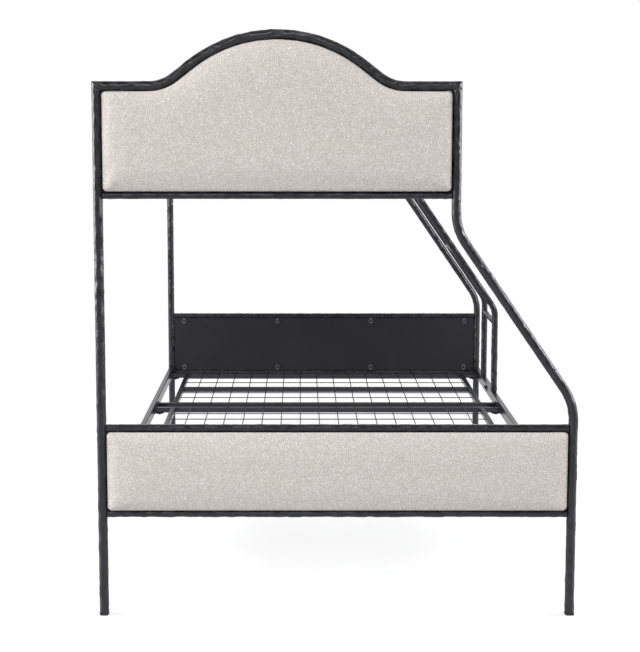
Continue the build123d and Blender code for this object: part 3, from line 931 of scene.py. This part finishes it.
def pan_screw():
    """Pan-head screw with a socket, its seat at the origin and its head upwards."""
    depth = SCREW_HEAD * MM
    screw = round_bar(SCREW_SIDES, SCREW_RADIUS * MM, depth, (0, 0, depth / 2))
    edit(screw)
    pick("EDGE", lambda edge: met(middle(edge).z, depth))
    rounded(SCREW_EDGE, segments=3)
    pick("FACE", lambda face: face.normal.z > ALONG and face.calc_center_median().xy.length < TOUCH * MM)
    bpy.ops.mesh.inset(thickness=SCREW_RIM * MM, depth=0)
    bpy.ops.mesh.extrude_region_move(TRANSFORM_OT_translate={"value": (0, 0, -SCREW_SOCKET * MM)})
    return take(screw)


def set_fasteners(node, manner, pattern, head, facing):
    """Fasteners of one CAD node, each in place of a solid, its head where the solid has it.

    facing tells the outward way of a fastener from the middle of its solid.
    """
    made = []
    for low, high in solid_boxes(node):
        spot, half = (low + high) / 2, (high - low) / 2
        outward = Vector(facing(spot))
        seat = spot + outward * (abs(half.dot(outward)) - head * MM)
        turn = outward.to_track_quat("Z", "Y").to_matrix().to_4x4()
        made.append(copied(pattern, Matrix.Translation(seat) @ turn))
    finish(joined(made), node, manner, "fastener_steel", FASTENER)


def bolts():
    """Every bolt: under the decks, inside the side rails, in the guard rails and the ladder."""
    pattern = hex_bolt()

    def set_bolts(node, facing):
        """Hexagon bolts of one CAD node."""
        set_fasteners(node, "hex", pattern, BOLT_HEAD, facing)

    for level, right_x in zip(LEVELS, (LOWER_RIGHT_X, UPPER_RIGHT_X)):
        centre = (LEFT_X + right_x) / 2 * MM
        set_bolts(f"{level}_deck_bolts", lambda spot: (0, 0, -1))
        set_bolts(f"{level}_rail_bolts", lambda spot: (1 if spot.x < centre else -1, 0, 0))
    set_bolts("guard_bolts", lambda spot: (0, 1 if spot.y < 0 else -1, 0))
    ladder_middle = LADDER_MIDDLE_Z * MM
    set_bolts("ladder_bolts", lambda spot: (-1, 0, 0) if spot.z < ladder_middle else (0, 0, -1))
    bpy.data.objects.remove(pattern)


def round_tab(low, high, weld_below):
    """Lug tab with a full round end, welded by its straight end."""
    made = block(low, high)
    weld_z, free_z = (low.z, high.z) if weld_below else (high.z, low.z)
    edit(made)
    pick("EDGE", lambda edge: abs(edge_way(edge).y) > ALONG and met(middle(edge).z, free_z))
    rounded(TAB_ROUND, segments=8)
    pick("VERT", lambda vertex: met(vertex.co.z, weld_z))
    bpy.ops.transform.resize(value=(TAB_NECK_SHARE, 1, 1), center_override=(low + high) / 2)
    return take(made)


def tabs_and_screws(end):
    """Lug tabs of one end frame and the screws in them."""
    spots = [(low + high) / 2 for low, high in solid_boxes(f"{end}_panel_screws")]
    tabs = []
    for low, high in solid_boxes(f"{end}_panel_tabs"):
        centre = (low + high) / 2
        nearest = min(spots, key=lambda spot: (spot - centre).length)
        tabs.append(round_tab(low, high, nearest.z > centre.z))
    finish(joined(tabs), f"{end}_panel_tabs", "round", "smooth_metal", LUG)
    pattern = pan_screw()
    inward = (0, 1 if end == "foot" else -1, 0)
    set_fasteners(f"{end}_panel_screws", "pan", pattern, SCREW_HEAD, lambda spot: inward)
    bpy.data.objects.remove(pattern)


def foot_glides(end):
    """Moulded glides under the posts, with a soft lower edge."""
    node = f"{end}_foot_glides"
    made = []
    for low, high in solid_boxes(node):
        glide = block(low, (high.x, high.y, low.z + GLIDE * MM))
        edit(glide)
        pick("EDGE", lambda edge: abs(edge_way(edge).z) > ALONG)
        rounded(POST_CORNER, segments=4)
        pick("EDGE", lambda edge: met(middle(edge).z, low.z))
        rounded(GLIDE_EDGE, segments=3)
        made.append(take(glide))
    finish(joined(made), node, "moulded", "black_plastic", PLASTIC)


# Upholstery and its backing boards


def grown_copy(node, growth):
    """Copy of a CAD node's form, grown outwards in the plane of its panel, its back kept."""
    clear_selection()
    piece = bpy.data.objects.new(f"{node}_copy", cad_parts[node].data.copy())
    bpy.context.scene.collection.objects.link(piece)
    edit(piece, "SELECT")
    bpy.ops.mesh.remove_doubles(threshold=MERGE * MM)
    take(piece)
    ways = [Vector((vertex.normal.x, 0, vertex.normal.z)) for vertex in piece.data.vertices]
    for vertex, way in zip(piece.data.vertices, ways):
        if way.length > SIDE_SHARE:
            vertex.co += way.normalized() * growth * MM
    return piece


def swell(pad, back):
    """Swells a pad by cloth pressure, its back held, no point further than the cap."""
    before = [vertex.co.copy() for vertex in pad.data.vertices]
    held = pad.vertex_groups.new(name="held")
    held.add([i for i, co in enumerate(before) if co.y > back - PAD_HELD * MM], 1.0, "REPLACE")
    cloth = pad.modifiers.new("padding", "CLOTH")
    for name, value in COVER_CLOTH.items():
        setattr(cloth.settings, name, value)
    cloth.settings.effector_weights.gravity = 0
    cloth.collision_settings.use_collision = False
    cloth.point_cache.frame_start = 1
    cloth.point_cache.frame_end = PAD_FRAMES
    scene = bpy.context.scene
    for moment in range(1, PAD_FRAMES + 1):
        scene.frame_set(moment)
    bpy.ops.object.modifier_apply(modifier=cloth.name)
    scene.frame_set(1)
    for vertex, co in zip(pad.data.vertices, before):
        moved = vertex.co - co
        if moved.length > PAD_SWELL_CAP * MM:
            vertex.co = co + moved.normalized() * PAD_SWELL_CAP * MM


def drawn_rim(pad):
    """Draws the rim of a pad back and lets it bulge out over the blunt edges of its frame."""
    normals = [vertex.normal.copy() for vertex in pad.data.vertices]
    places = [vertex.co.copy() for vertex in pad.data.vertices]
    rim = [(co, normal) for co, normal in zip(places, normals) if abs(normal.y) < RIM_SHARE]
    tree = KDTree(len(rim))
    for i, (co, normal) in enumerate(rim):
        tree.insert((co.x, 0, co.z), i)
    tree.balance()
    start, full = (FOOT_Y - depth for depth in BULGE_DEPTHS)
    for vertex, co, normal in zip(pad.data.vertices, places, normals):
        _, nearest, reach = tree.find((co.x, 0, co.z))
        out = Vector((rim[nearest][1].x, 0, rim[nearest][1].z)).normalized()
        depth = min(max((start - co.y / MM) / (start - full), 0.0), 1.0)
        vertex.co = co + out * RIM_BULGE * MM * depth * math.exp(-reach / (BULGE_REACH * MM))
        if normal.y < 0:
            facing = min(1.0, -normal.y / FRONT_SHARE)
            vertex.co.y += RIM_PULL * MM * facing * math.exp(-reach / (RIM_REACH * MM))


def stuffed_pad(node):
    """Padded panel: the CAD form, swollen by cloth pressure and drawn back at its rim."""
    pad = grown_copy(node, PAD_GROWTH)
    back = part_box(node)[1].y
    apply_modifier(pad, "voxels", "REMESH", mode="VOXEL", voxel_size=PAD_VOXEL * MM)
    swell(pad, back)
    drawn_rim(pad)
    apply_modifier(pad, "settled", "SMOOTH", factor=SETTLE_FACTOR, iterations=SETTLE_ROUNDS)
    for vertex in pad.data.vertices:
        vertex.co.y = min(vertex.co.y, back)
    return pad


def boards():
    """Backing boards cut to fill their frames, with broken edges."""
    for end in ENDS:
        for level in reversed(LEVELS):
            node = f"{end}_{level}_back_board"
            board = grown_copy(node, BOARD_GROWTH)
            edit(board, "SELECT")
            bpy.ops.mesh.dissolve_limited(angle_limit=math.radians(FLAT_FOLD))
            pick(
                "EDGE",
                lambda edge: abs(edge_way(edge).y) < ACROSS
                and edge.calc_face_angle(0) > math.radians(SQUARE_FOLD),
            )
            rounded(BOARD_EDGE, segments=2)
            finish(take(board), node, "fitted", "dark_board", BOARD)


def pads():
    """Foot pads by simulation and head pads as their mirror images."""
    over = Matrix.Scale(-1, 4, (0, 1, 0))
    for level in reversed(LEVELS):
        foot = stuffed_pad(f"foot_{level}_pad")
        head = copied(foot, over)
        for end, pad in zip(ENDS, (foot, head)):
            finish(pad, f"{end}_{level}_pad", "stuffed", "greige_fabric", FABRIC, PAD_ANGLE)


# The whole bed

end_frame("foot", FOOT_Y)
end_frame("head", -FOOT_Y)
ladder()
smooth_rails()
for deck_level in LEVELS:
    deck_mesh(deck_level)
    deck_brackets(deck_level)
bolts()
for bed_end in ENDS:
    tabs_and_screws(bed_end)
    foot_glides(bed_end)
boards()
pads()

# CAD nodes whose shape is already right get their real finish
for node_name in ("lower_rail_tongues", "upper_rail_tongues", "ladder_base_plate", "ladder_top_plates"):
    for node_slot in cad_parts[node_name].material_slots:
        node_slot.material = SATIN


# Studio


def sight(tree):
    """Sockets that are 1 for camera rays, for mirror or clear rays, and for any of them."""
    path = add(tree, "ShaderNodeLightPath").outputs
    mirror = add(
        tree,
        "ShaderNodeMath",
        {0: path["Is Glossy Ray"], 1: path["Is Transmission Ray"]},
        operation="MAXIMUM",
    ).outputs["Value"]
    shown = add(tree, "ShaderNodeMath", {0: path["Is Camera Ray"], 1: mirror}, operation="MAXIMUM")
    return path["Is Camera Ray"], mirror, shown.outputs["Value"]


def studio_floor():
    """Pale floor that keeps the bed's shadow and turns to plain white further out."""
    clear_selection()
    bpy.ops.mesh.primitive_plane_add(size=FLOOR_SIZE)
    floor = bpy.context.object
    floor.name = "studio_floor"
    material, tree, place = new_finish("studio floor, matt white")
    _, _, shown = sight(tree)
    away = add(tree, "ShaderNodeVectorMath", {0: place}, operation="LENGTH")
    near, far = FLOOR_FADE
    fade = add(
        tree,
        "ShaderNodeMapRange",
        {"Value": away.outputs["Value"], "From Min": near, "From Max": far, "To Min": 0.55, "To Max": 1.0},
        interpolation_type="SMOOTHSTEP",
    )
    diffuse = add(tree, "ShaderNodeBsdfDiffuse", {"Color": linear("#EFEFEF")})
    glow = add(tree, "ShaderNodeEmission", {"Color": linear("#FFFFFF"), "Strength": shown})
    both = add(
        tree,
        "ShaderNodeMixShader",
        {0: fade.outputs["Result"], 1: diffuse.outputs["BSDF"], 2: glow.outputs["Emission"]},
    )
    add(tree, "ShaderNodeOutputMaterial", {"Surface": both.outputs["Shader"]})
    floor.data.materials.append(material)


def surroundings():
    """White for the eye, dimmer towards the front in mirrors, and an even light from the air."""
    world = bpy.data.worlds.new("studio surroundings")
    bpy.context.scene.world = world
    tree = emptied(world)
    camera_ray, mirror, shown = sight(tree)
    way = add(tree, "ShaderNodeTexCoord").outputs["Generated"]
    ahead = add(tree, "ShaderNodeSeparateXYZ", {"Vector": way})
    dim = add(
        tree,
        "ShaderNodeMapRange",
        {"Value": ahead.outputs["Y"], "From Min": -0.6, "From Max": 0.3, "To Min": 0.1, "To Max": 1.0},
    )
    mirrored = add(tree, "ShaderNodeMath", {0: mirror, 1: dim.outputs["Result"]}, operation="MULTIPLY")
    plain = add(tree, "ShaderNodeMapRange", {"Value": shown, "To Min": AIR, "To Max": 0.0})
    bright = add(tree, "ShaderNodeMath", {0: camera_ray, 1: mirrored.outputs["Value"]}, operation="ADD")
    level = add(
        tree,
        "ShaderNodeMath",
        {0: bright.outputs["Value"], 1: plain.outputs["Result"]},
        operation="ADD",
    )
    air = add(
        tree,
        "ShaderNodeBackground",
        {"Color": linear("#FFFFFF"), "Strength": level.outputs["Value"]},
    )
    add(tree, "ShaderNodeOutputWorld", {"Surface": air.outputs["Background"]})


def lamp(name, place, aim, size, power):
    """Soft rectangular studio lamp."""
    light = bpy.data.lights.new(name, "AREA")
    light.shape = "RECTANGLE"
    light.size, light.size_y = size
    light.energy = power
    made = bpy.data.objects.new(name, light)
    made.visible_camera = False
    made.location = place
    made.rotation_euler = (Vector(aim) - Vector(place)).to_track_quat("-Z", "Y").to_euler()
    bpy.context.scene.collection.objects.link(made)


def camera():
    """The photograph's place in front of the foot end, as high as the upper panel."""
    data = bpy.data.cameras.new("photograph")
    data.lens = CAMERA_LENS
    data.sensor_width = CAMERA_SENSOR
    data.shift_x, data.shift_y = CAMERA_SHIFT
    made = bpy.data.objects.new("photograph", data)
    made.location = CAMERA_PLACE
    made.rotation_euler = (math.radians(90 - CAMERA_TILT), 0, 0)
    bpy.context.scene.collection.objects.link(made)
    bpy.context.scene.camera = made


studio_floor()
surroundings()
for studio_lamp in LAMPS:
    lamp(*studio_lamp)
camera()
bpy.context.scene.view_settings.view_transform = "Standard"
